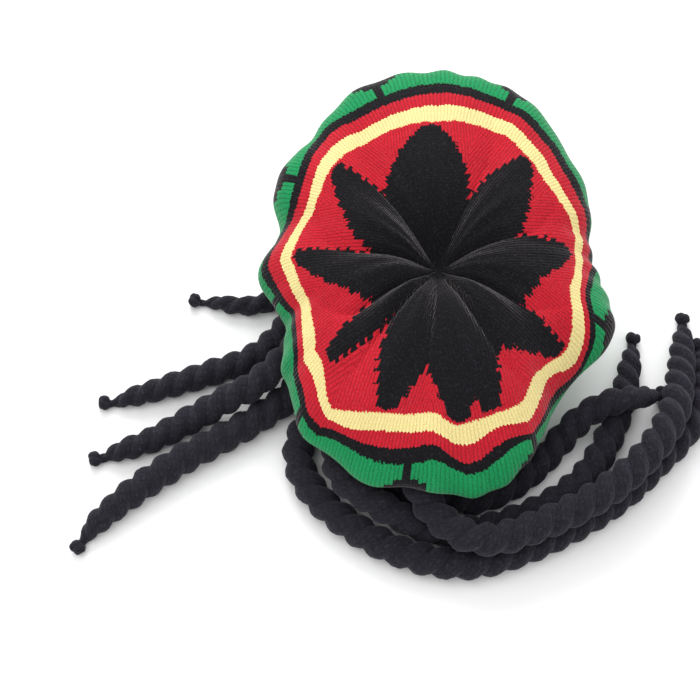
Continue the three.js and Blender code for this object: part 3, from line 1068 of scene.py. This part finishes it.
    def twist_tree(self) -> bpy.types.NodeTree:
        """The Geometry Nodes tree that sweeps two twisted plies along a line.

        Returns:
            The tree.
        """
        graph, given = new_tree("twisted lock", {
            "Lobe Spread": "Float", "Sides": "Int", "Fuzz Height": "Float", "Fuzz Scale": "Float",
            "Seed": "Float"})
        outline = {"Resolution": given["Sides"], "Radius": 1.0}
        circle = graph.add("GeometryNodeCurvePrimitiveCircle", {}, outline)
        x, y, _ = graph.split(graph.add("GeometryNodeInputPosition", {}, {}))
        spread = given["Lobe Spread"]
        strand = 1.0 - spread
        reach = abs(x) * spread + (strand * strand - spread * spread * y * y).math("SQRT")
        section = graph.add("GeometryNodeSetPosition", {},
                            {"Geometry": circle, "Position": graph.joined(x * reach, y * reach, 0.0)})
        section, turn = graph.capture(section, "VECTOR", "turn", graph.joined(x, y, 0.0))
        length = graph.add("GeometryNodeSplineParameter", {}, {}, "Length")
        line, along = graph.capture(given["Geometry"], "FLOAT", "along", length)
        radius = graph.add("GeometryNodeInputRadius", {}, {})
        swept = graph.add("GeometryNodeCurveToMesh", {},
                          {"Curve": line, "Profile Curve": section, "Scale": radius, "Fill Caps": True})
        cosine, sine, _ = graph.split(turn)
        named = graph.store(swept, "lay", graph.joined(along, cosine, sine))
        place = graph.add("GeometryNodeInputPosition", {}, {})
        fuzz = graph.add("ShaderNodeTexNoise", {"noise_dimensions": "4D"},
                         {"Vector": place, "W": given["Seed"], "Scale": given["Fuzz Scale"], "Detail": 3.0})
        normal = graph.add("GeometryNodeInputNormal", {}, {})
        push = graph.add("ShaderNodeVectorMath", {"operation": "SCALE"},
                         {0: normal, "Scale": (fuzz - 0.5) * given["Fuzz Height"]})
        pushed = graph.add("GeometryNodeSetPosition", {}, {"Geometry": named, "Offset": push})
        east, north, height = graph.split(graph.add("GeometryNodeInputPosition", {}, {}))
        rest = graph.joined(east, north, height.math("MAXIMUM", 0.0))
        moved = graph.add("GeometryNodeSetPosition", {}, {"Geometry": pushed, "Position": rest})
        return end_tree(graph, moved, given["Material"])

    def knot_path(self, centre: np.ndarray, ahead: np.ndarray) -> np.ndarray:
        """The line of the small overhand knot at a lock's tip.

        Args:
            centre: The knot's middle.
            ahead: The direction in which the lock ends.

        Returns:
            Points of a closed line.
        """
        t = np.linspace(0, 2 * np.pi, self.knot_points, endpoint=False)
        size = self.knot_radius / 3
        loops = [np.sin(t) + 2 * np.sin(2 * t), np.cos(t) - 2 * np.cos(2 * t), -np.sin(3 * t)]
        wave = np.stack(loops, axis=1) * size
        side = np.cross([0.0, 0.0, 1.0], ahead)
        side /= np.linalg.norm(side)
        up = np.cross(ahead, side)
        return centre + wave @ np.stack([side, up, ahead])

    def curve(self, name: str, line: np.ndarray, radii: np.ndarray, knot: np.ndarray) -> bpy.types.Object:
        """A curve piece of a lock's middle line, tilted as the plies turn, and of its knot.

        Args:
            name: The piece's name.
            line: The middle line.
            radii: The radius along it.
            knot: The knot's closed line.

        Returns:
            The curve piece, in metres.
        """
        curve = bpy.data.curves.new(name, "CURVE")
        curve.dimensions = "3D"
        curve.twist_mode = "MINIMUM"
        share = radii / radii.max()
        pitch = self.pitch * (self.loosest_twist + (1 - self.loosest_twist) * share)
        turn = np.cumsum(2 * np.pi * self.spacing / pitch)
        add_line(curve, line * MM, False, radii * MM, -turn)
        add_line(curve, knot * MM, True, np.full(len(knot), self.knot_strand * MM), np.zeros(len(knot)))
        return linked(name, curve)

    def build(self, finish: bpy.types.Material) -> list[bpy.types.Object]:
        """Builds the locks.

        Args:
            finish: The locks' material.

        Returns:
            The pieces.
        """
        tree = self.twist_tree()
        pieces = []
        for i, lock in enumerate(self.lines):
            line, radii = lock.centres(self.band, self.spacing)
            ahead = line[-1] - line[-4]
            ahead /= np.linalg.norm(ahead)
            centre = line[-1] - ahead * self.knot_radius
            centre[2] = max(centre[2], self.knot_radius + self.knot_strand * 0.5)
            keep = max(2, len(line) - int(self.knot_radius / self.spacing))
            line, radii = line[:keep], radii[:keep]
            drawn = self.curve(f"line_{i + 1}", line, radii, self.knot_path(centre, ahead))
            modifier = drawn.modifiers.new("twist", "NODES")
            modifier.node_group = tree
            fill_inputs(modifier, {
                "Lobe Spread": self.lobe_spread, "Sides": self.sides, "Fuzz Height": self.fuzz_height * MM,
                "Fuzz Scale": self.fuzz_scale, "Seed": float(i) * self.seed_step, "Material": finish})
            piece = baked(drawn, f"lock_{i + 1}")
            dressed(piece, "black_lock_yarn", f"dreadlock_{i + 1}")
            2 * lock.radius * MM
            pieces.append(piece)
        return pieces


@dataclass(frozen=True)
class Section:
    """One section of the crown: shares of the way to the rim, its swell, petals, folds and tuck."""

    reach: float
    swell: float
    petal: float
    fold: float
    tuck: float


@dataclass(frozen=True)
class RimFold:
    """One fold of the rim: degrees, and shares of the crown's half width and of the rim's height."""

    bearing: float
    half_width: float
    reach: float
    rise: float


@dataclass(frozen=True)
class Rings:
    """Where the rings lie at one bearing: degrees, and how far down each yarn begins below the star."""

    bearing: float
    yellow: float
    red: float
    black: float
    green: float


@dataclass
class Crown:
    """The puffed and slouched crown, in one knit from the star's centre to the band. Millimetres."""

    band: Headband
    width: float = 276.0
    length: float = 354.0
    front_rise: float = 131.0
    nape_rise: float = 76.0
    puff: float = 15.0
    petal_puff: float = 9.0
    side_droop: float = 16.0
    frill: float = 1.5
    wall: float = 3.0
    seam_z: float = 44.3
    seam_rise: float = 5.0
    steps_in_petal: int = 56
    rows_in_section: int = 8
    wales_in_gore: float = 32.0
    creases: ClassVar[tuple[float, ...]] = (31, 73, 114, 154, 195, 233, 266, 303, 346)
    folds: ClassVar[tuple[RimFold, ...]] = (
        RimFold(11, 22, -0.085, 0), RimFold(62, 20, 0.035, 0), RimFold(112, 22, 0.03, 0),
        RimFold(146, 17, 0.065, 0.02), RimFold(162, 10, -0.055, 0), RimFold(178, 12, 0.045, -0.04),
        RimFold(197, 17, -0.11, 0.05), RimFold(231, 14, 0.085, -0.06), RimFold(249, 14, 0.065, -0.04),
        RimFold(263, 12, 0.01, 0.08), RimFold(281, 15, 0.04, -0.1), RimFold(314, 26, -0.17, -0.05),
        RimFold(342, 15, 0.05, 0.05),
    )
    sections: ClassVar[tuple[Section, ...]] = (
        Section(0.0, -0.62, 0, 0, 0), Section(0.05, -0.5, 0.1, 0, 0), Section(0.12, -0.05, 0.5, 0, 0),
        Section(0.21, 0.5, 0.85, 0, 0), Section(0.32, 0.85, 1, 0, 0), Section(0.44, 1, 0.9, 0.03, 0),
        Section(0.56, 1, 0.65, 0.12, 0), Section(0.68, 0.92, 0.4, 0.35, 0), Section(0.79, 0.75, 0.2, 0.65, 0),
        Section(0.88, 0.45, 0.1, 0.9, 0), Section(0.945, 0.1, 0, 1, 0), Section(0.985, -0.4, 0, 1, 0),
        Section(1, -0.95, 0, 0.9, 0), Section(0.985, -1.45, 0, 0.7, 0), Section(0.945, -1.75, 0, 0.4, 0.02),
        Section(0.9, -1.85, 0, 0.1, 0.25), Section(0.9, -1.85, 0, 0, 0.55), Section(0.9, -1.85, 0, 0, 0.85),
        Section(0.9, -1.85, 0, 0, 1),
    )
    ring_places: ClassVar[tuple[Rings, ...]] = (
        Rings(0, 121, 129, 140, 148), Rings(13, 123, 133, 146, 158), Rings(22, 122, 131, 144, 155),
        Rings(31, 119, 128, 140, 150), Rings(45, 122, 135, 147, 158), Rings(65, 126, 139, 149, 158),
        Rings(81, 126, 141, 153, 164), Rings(90, 125, 142, 155, 167), Rings(106, 125, 139, 151, 162),
        Rings(114, 123, 135, 147, 158), Rings(130, 122, 137, 149, 160), Rings(142, 123, 134, 142, 151),
        Rings(154, 121, 128, 137, 145), Rings(168, 124, 134, 147, 158), Rings(183, 124, 134, 147, 157),
        Rings(200, 122, 131, 138, 144), Rings(213, 123, 136, 141, 147), Rings(222, 133, 146, 158, 166),
        Rings(230, 149, 157, 174, 180), Rings(234, 153, 160, 167, 176), Rings(242, 150, 164, 168, 175),
        Rings(250, 144, 158, 171, 182), Rings(258, 138, 151, 163, 177), Rings(266, 129, 144, 154, 167),
        Rings(270, 136, 151, 159, 170), Rings(274, 147, 160, 173, 180), Rings(279, 144, 162, 177, 186),
        Rings(286, 141, 150, 162, 174), Rings(292, 140, 152, 161, 166), Rings(300, 135, 152, 162, 166),
        Rings(308, 130, 147, 161, 167), Rings(314, 133, 141, 158, 168), Rings(322, 134, 150, 160, 168),
        Rings(330, 127, 143, 149, 156), Rings(338, 119, 129, 134, 141), Rings(347, 116, 125, 129, 134),
        Rings(355, 121, 127, 133, 139),
    )
    chart_marks: ClassVar[tuple[float, ...]] = (0.0, 120.0, 134.0, 149.0, 158.0, 400.0)
    ring_softening: ClassVar[float] = 6.0
    star_reach: ClassVar[float] = 118.0
    star_outline: ClassVar[tuple[tuple[float, float], ...]] = (
        (-0.38, 68), (0.4, 118.5), (0.75, 58.5), (1.48, 117), (2.43, 70.5), (2.6, 118.5), (3.58, 57.5),
        (3.58, 116.5), (4.58, 66), (4.73, 112), (5.05, 53.5), (5.55, 117), (5.9, 84.5), (6.25, 118.5),
        (6.43, 105.5), (6.58, 116.5), (6.85, 77), (7.45, 118.5), (7.53, 70.5), (8.38, 113),
    )
    tip_width: ClassVar[float] = 0.14
    star_heart: ClassVar[float] = 40.0
    star_flare: ClassVar[float] = 1.5
    star_fade: ClassVar[float] = 0.03
    crease_drifts: ClassVar[tuple[float, ...]] = (-0.38, -0.25, 0.43, 0.58, 0.58, 0.05, -0.1, -0.15, -0.47)
    drift_ends: ClassVar[tuple[float, float]] = (0.5, 0.9)
    arch_power: ClassVar[float] = 0.8
    tuck_power: ClassVar[float] = 0.8
    waves: ClassVar[tuple[tuple[float, ...], ...]] = (
        (7, 5.0, 0.6, 0.0), (13, -7.0, 0.35, 1.1), (22, 9.0, 0.22, 2.3), (31, 4.0, 0.16, 4.0),
    )
    wave_onset: ClassVar[float] = 2.2
    gathers: ClassVar[int] = 27
    gather_height: ClassVar[float] = 0.5
    gather_place: ClassVar[tuple[float, float]] = (0.32, 0.16)
    frills: ClassVar[int] = 33
    frill_sway: ClassVar[float] = 1.8
    frill_share: ClassVar[float] = 0.6
    ring_samples: ClassVar[int] = 13
    first_place: ClassVar[float] = 0.25
    narrowest: ClassVar[float] = 0.02

    def bearings(self, petals: np.ndarray) -> np.ndarray:
        """Bearings of places round the star.

        Args:
            petals: Places counted in petals from the first crease.

        Returns:
            Bearings in degrees.
        """
        turns = np.unwrap(np.radians(np.append(self.creases, self.creases[0])), period=2 * np.pi)
        return np.degrees(np.interp(petals, np.arange(len(turns)), turns))

    def fold_sum(self, key: str, degrees: np.ndarray) -> np.ndarray:
        """Sum of the folds that are felt at bearings.

        Args:
            key: The fold's value to sum.
            degrees: The bearings.

        Returns:
            A sum for each bearing.
        """
        total = np.zeros_like(degrees)
        for fold in self.folds:
            away = np.abs((degrees - fold.bearing + 540) % 360 - 180)
            felt = np.where(away < fold.half_width, (1 + np.cos(np.pi * away / fold.half_width)) / 2, 0)
            total += getattr(fold, key) * felt
        return total

    def rows(self, places: np.ndarray) -> dict[str, np.ndarray]:
        """Section values between the sections, on smooth lines.

        Args:
            places: Places counted in sections from the centre.

        Returns:
            A column of values for each field.
        """
        table = np.array([[s.reach, s.swell, s.petal, s.fold, s.tuck] for s in self.sections])
        padded = np.vstack([table[0], table, table[-1]])
        k = np.clip(np.floor(places).astype(int), 0, len(table) - 2)
        t = (places - k)[:, None]
        p0, p1, p2, p3 = (padded[k + i] for i in range(4))
        m1, m2 = (p2 - p0) / 2, (p3 - p1) / 2
        value = ((2 * p1 - 2 * p2 + m1 + m2) * t + (-3 * p1 + 3 * p2 - 2 * m1 - m2)) * t * t + m1 * t + p1
        names = ("reach", "swell", "petal", "fold", "tuck")
        return {n: value[:, i : i + 1] for i, n in enumerate(names)}

    def crumple(self, degrees: np.ndarray, reach: np.ndarray) -> np.ndarray:
        """Small soft unevenness of the lying knit.

        Args:
            degrees: Bearings.
            reach: Shares of the way to the rim.

        Returns:
            Heights over the smooth shape.
        """
        turn = np.radians(degrees)
        total = sum(h * np.sin(n * turn + m * reach + shift) for n, m, h, shift in self.waves)
        middle, spread = self.gather_place
        near = np.exp(-(((reach - middle) / spread) ** 2))
        gathered = self.gather_height * np.cos(self.gathers * turn + 1.0) * near
        return total * np.clip(reach * self.wave_onset, 0, 1) + gathered

    def surface(self, places: np.ndarray, petals: np.ndarray) -> np.ndarray:
        """The crown's outside.

        Args:
            places: Rows, counted in sections from the centre.
            petals: Columns, counted in petals from the first crease.

        Returns:
            Points as an array of rows by columns by x, y, z.
        """
        row = self.rows(places)
        degrees = self.bearings(petals)[None, :]
        turn = np.radians(degrees)
        oval = 1 / np.hypot(np.cos(turn) / (self.width / 2), np.sin(turn) / (self.length / 2))
        reach = row["reach"] * oval + self.width / 2 * self.fold_sum("reach", degrees) * row["fold"]
        frill = np.sin(self.frills * turn + self.frill_sway * np.sin(5 * turn))
        frill = frill * (self.frill_share + (1 - self.frill_share) * np.sin(4 * turn + 1.0))
        reach = reach + self.frill * frill * row["fold"] ** 2
        x, y = reach * np.cos(turn), reach * np.sin(turn)
        plane = self.nape_rise + (self.front_rise - self.nape_rise) * (y / self.length + 0.5)
        droop = self.side_droop * np.cos(turn) ** 2 * row["reach"] ** 3
        arch = self.arches(petals, row["reach"].ravel())
        ruffle = self.nape_rise * self.fold_sum("rise", degrees) * row["fold"]
        z = plane + self.puff * row["swell"] + self.petal_puff * row["petal"] * arch + ruffle - droop
        z = z + self.crumple(degrees, row["reach"]) * (1 - row["tuck"])
        edge = self.band.point(turn, self.seam_z + self.seam_rise)
        tuck = np.clip(row["tuck"], 0, 1)
        flat = np.stack(np.broadcast_arrays(x, y, z), axis=-1)
        share = np.stack([tuck, tuck, tuck**self.tuck_power], axis=-1)
        return flat + (edge - flat) * share

    def arches(self, petals: np.ndarray, reach: np.ndarray) -> np.ndarray:
        """Heights of the petals' arches, from 0 on a crease to 1. The creases bend to the star's valleys.

        Args:
            petals: The columns.
            reach: Each row's share of the way to the rim.

        Returns:
            A height for each row and column.
        """
        k = np.arange(-1, len(self.creases) + 2)
        drift = np.array(self.crease_drifts)[k % len(self.creases)]
        first, last = self.drift_ends
        felt = (1 + np.cos(np.pi * np.clip((reach - first) / (last - first), 0, 1))) / 2
        phase = np.stack([np.interp(petals, k + drift * f, k) for f in felt])
        return np.sin(np.pi * (phase % 1)) ** self.arch_power

    def star_margin(self, places: np.ndarray, down: np.ndarray) -> tuple[np.ndarray, np.ndarray]:
        """How far inside the star points lie, in petals.

        Args:
            places: Places counted in petals from the first crease.
            down: Millimetres from the centre.

        Returns:
            A margin for each point, and 1 or -1 for the near side of its finger.
        """
        half = len(self.creases) / 2
        margin, side = np.full(places.shape, -half), np.ones(places.shape)
        points = np.array(self.star_outline)
        for i in range(0, len(points), 2):
            tip, ends = points[i + 1], (points[i], points[(i + 2) % len(points)])
            away = (places - tip[0] + half) % (2 * half) - half
            gaps = []
            for sign, end in zip((1.0, -1.0), ends):
                back = np.maximum(0.0, (tip[1] - down) / (tip[1] - end[1]))
                opened = np.where(back < 1, back, 1 + self.star_flare * (back - 1))
                blunted = self.tip_width / 2 * np.clip(1 - back, 0, 1)
                reach = (end[0] - tip[0] + half) % (2 * half) - half
                gaps.append(sign * (away - reach * opened) + blunted)
            inside = np.minimum(*gaps) - self.star_fade * np.maximum(0.0, down - tip[1])
            side = np.where(inside > margin, np.where(gaps[0] < gaps[1], 1.0, -1.0), side)
            margin = np.maximum(inside, margin)
        return margin, side

    def ring_edges(self, degrees: np.ndarray) -> np.ndarray:
        """How far down the rings begin at bearings, on rounded lines.

        Args:
            degrees: The bearings.

        Returns:
            Four distances for each bearing.
        """
        table = np.array([[r.bearing, r.yellow, r.red, r.black, r.green] for r in self.ring_places])
        away = np.linspace(-1.0, 1.0, self.ring_samples)
        weights = np.cos(away * np.pi / 2.2) ** 2
        near = (degrees[:, None] + away * self.ring_softening) % 360
        edges = [np.interp(near, table[:, 0], table[:, k], period=360) @ weights for k in range(1, 5)]
        return np.stack(edges, axis=1) / weights.sum()

    def fabric(self, outer: np.ndarray, petals: np.ndarray) -> tuple[np.ndarray, np.ndarray]:
        """Where each point lies in the knitted chart.

        Args:
            outer: The outside's points.
            petals: The columns.

        Returns:
            The share of a gore's full width at each row and column, and millimetres down from the centre.
        """
        steps = np.linalg.norm(np.diff(outer, axis=0), axis=2)
        down = np.vstack([np.zeros(outer.shape[1]), np.cumsum(steps, axis=0)])
        edges = self.ring_edges(self.bearings(petals))
        below = self.chart_marks[-1] - self.chart_marks[-2]
        for j, marks in enumerate(edges):
            down[:, j] = np.interp(down[:, j], [0.0, *marks, marks[-1] + below], self.chart_marks)
        around = np.linalg.norm(np.diff(outer, axis=1, append=outer[:, :1]), axis=2)
        gore = around.sum(axis=1) / len(self.creases)
        mean_down = down.mean(axis=1)
        full = np.interp(self.star_reach, mean_down, gore)
        narrowed = np.where(mean_down < self.star_reach, gore / full, 1.0)
        return np.interp(down, mean_down, np.clip(narrowed, self.narrowest, 1.0)), down

    def build(self, finish: bpy.types.Material) -> bpy.types.Object:
        """Builds the crown as one closed knitted wall.

        Args:
            finish: The crown's material.

        Returns:
            The piece.
        """
        gores = len(self.creases)
        around = gores * self.steps_in_petal
        petals = np.arange(around) / self.steps_in_petal
        last = len(self.sections) - 1
        places = np.linspace(self.first_place, last, last * self.rows_in_section)
        outer = self.surface(places, petals)
        lip = outer[-1:].copy()
        lip[..., 2] = self.seam_z
        outer = np.concatenate([outer, lip])
        share, down = self.fabric(outer, petals)
        along = np.gradient(outer, axis=0)
        across = np.roll(outer, -1, axis=1) - np.roll(outer, 1, axis=1)
        normal = np.cross(along, across)
        normal /= np.maximum(np.linalg.norm(normal, axis=2, keepdims=True), 1e-9)
        inner = (outer - normal * self.wall)[:: self.rows_in_section // 2]
        inner_lip = outer[-1:] - normal[-1:] * self.wall
        inner = np.concatenate([inner[:-1], inner_lip])
        kept = list(range(0, len(outer), self.rows_in_section // 2))[:-1] + [len(outer) - 1]
        rings = np.concatenate([outer, inner[::-1]])
        order = list(range(len(outer))) + kept[::-1]
        mesh = mesh_of_rings("crown_knit", rings[::-1] * MM, looped=False)
        self.chart(mesh, share[order][::-1], down[order][::-1])
        mesh.materials.append(finish)
        return linked("crown_knit", mesh)

    def chart(self, mesh: bpy.types.Mesh, share: np.ndarray, down: np.ndarray) -> None:
        """Writes the UV map that holds the chart and the attribute that holds the star, gore by gore.

        Args:
            mesh: The crown's mesh, whose vertices are rings of columns and two poles.
            share: Shares of a gore's full width.
            down: Millimetres from the centre.
        """
        rows, around = share.shape
        loops = np.empty(len(mesh.loops), int)
        mesh.loops.foreach_get("vertex_index", loops)
        starts = np.empty(len(mesh.polygons), int)
        totals = np.empty(len(mesh.polygons), int)
        mesh.polygons.foreach_get("loop_start", starts)
        mesh.polygons.foreach_get("loop_total", totals)
        face = np.repeat(np.arange(len(starts)), totals)
        column = loops % around
        row = np.minimum(loops // around, rows - 1)
        pole = loops >= rows * around
        lowest = np.full(len(starts), around)
        np.minimum.at(lowest, face, np.where(pole, around, column))
        highest = np.zeros(len(starts), int)
        np.maximum.at(highest, face, np.where(pole, 0, column))
        wraps = highest - lowest > 1
        first = np.where(wraps, around - 1, lowest)[face]
        gore = first // self.steps_in_petal
        unrolled = np.where(wraps[face] & (column == 0), around, column)
        frac = unrolled / self.steps_in_petal - gore
        frac = np.where(pole, 0.5, frac)
        width = self.wales_in_gore * share[row, column % around]
        wales = (frac - 0.5) * width
        fall = np.where(pole, 0.0, down[row, column % around])
        uv = mesh.uv_layers.new(name="chart")
        uv.data.foreach_set("uv", np.stack([wales, fall], axis=1).astype(np.float32).ravel())
        margin, side = self.star_margin(gore + frac, fall)
        lower, upper = (self.star_margin(gore + frac, fall + step)[0] for step in (1.0, -1.0))
        change = (lower - upper) / 2
        heart = np.maximum(0.0, self.star_heart - fall)
        star = np.stack([margin * width + heart, side, change * width], axis=1)
        keep_vectors(mesh, "star", "CORNER", star)


def main() -> None:
    """Builds the picture piece by piece."""
    logging.basicConfig(level=logging.INFO, format="%(name)s: %(message)s")
    studio = Studio()
    studio.camera()
    band = Headband()
    Locks(band).build(TwistedWool().make())
    crown = Crown(band)
    dressed(crown.build(ChartedKnit().make()), "striped_knit", "crown_top", "crown_side")
    dressed(band.build(RibbedWool().make()), "black_rib_knit", "headband")
    studio.lights()
    studio.floor()


if __name__ == "__main__":
    main()
